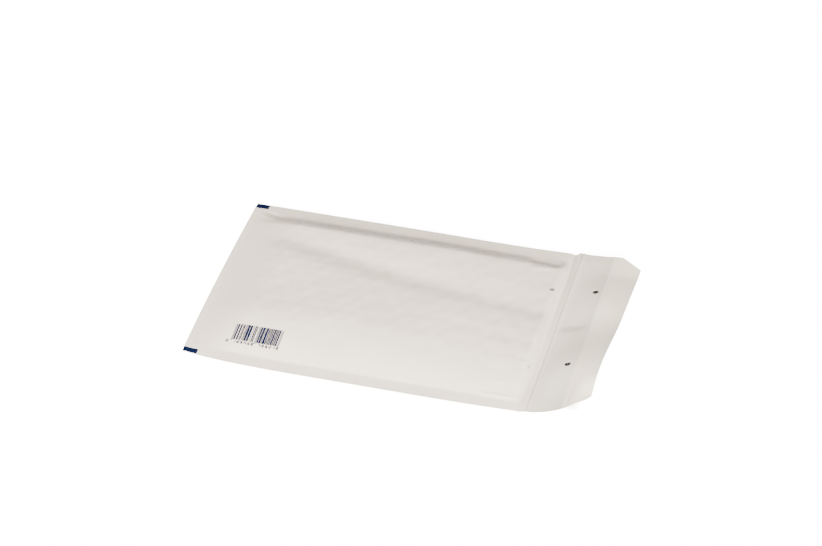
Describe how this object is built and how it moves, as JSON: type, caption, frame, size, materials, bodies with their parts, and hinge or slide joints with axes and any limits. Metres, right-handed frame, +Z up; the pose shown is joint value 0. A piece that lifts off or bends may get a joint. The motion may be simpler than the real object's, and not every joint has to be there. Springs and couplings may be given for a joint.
{
  "type": "padded envelope",
  "caption": "Flat padded mailing envelope of white paper lined with bubble film, its flap open and its self-seal strip still covered.",
  "frame": {"origin": "middle of the outline seen from above, on the surface that the envelope lies on", "axes": "+X along the envelope from the folded end to the tip of the flap, +Z up through its thickness, and -Y towards the edge nearest the viewer"},
  "size_m": [0.3254, 0.2, 0.02],
  "materials": {
    "white_paper": "uncoated white paper",
    "clear_film": "clear bubble film",
    "hot_melt": "tacky yellowish hot-melt adhesive",
    "release_paper": "smooth siliconised paper"
  },
  "bodies": {
    "root": {"outer_paper": "white_paper", "bubble_lining": "clear_film", "adhesive_strip": "hot_melt", "release_liner": "release_paper"}
  },
  "joints": []
}
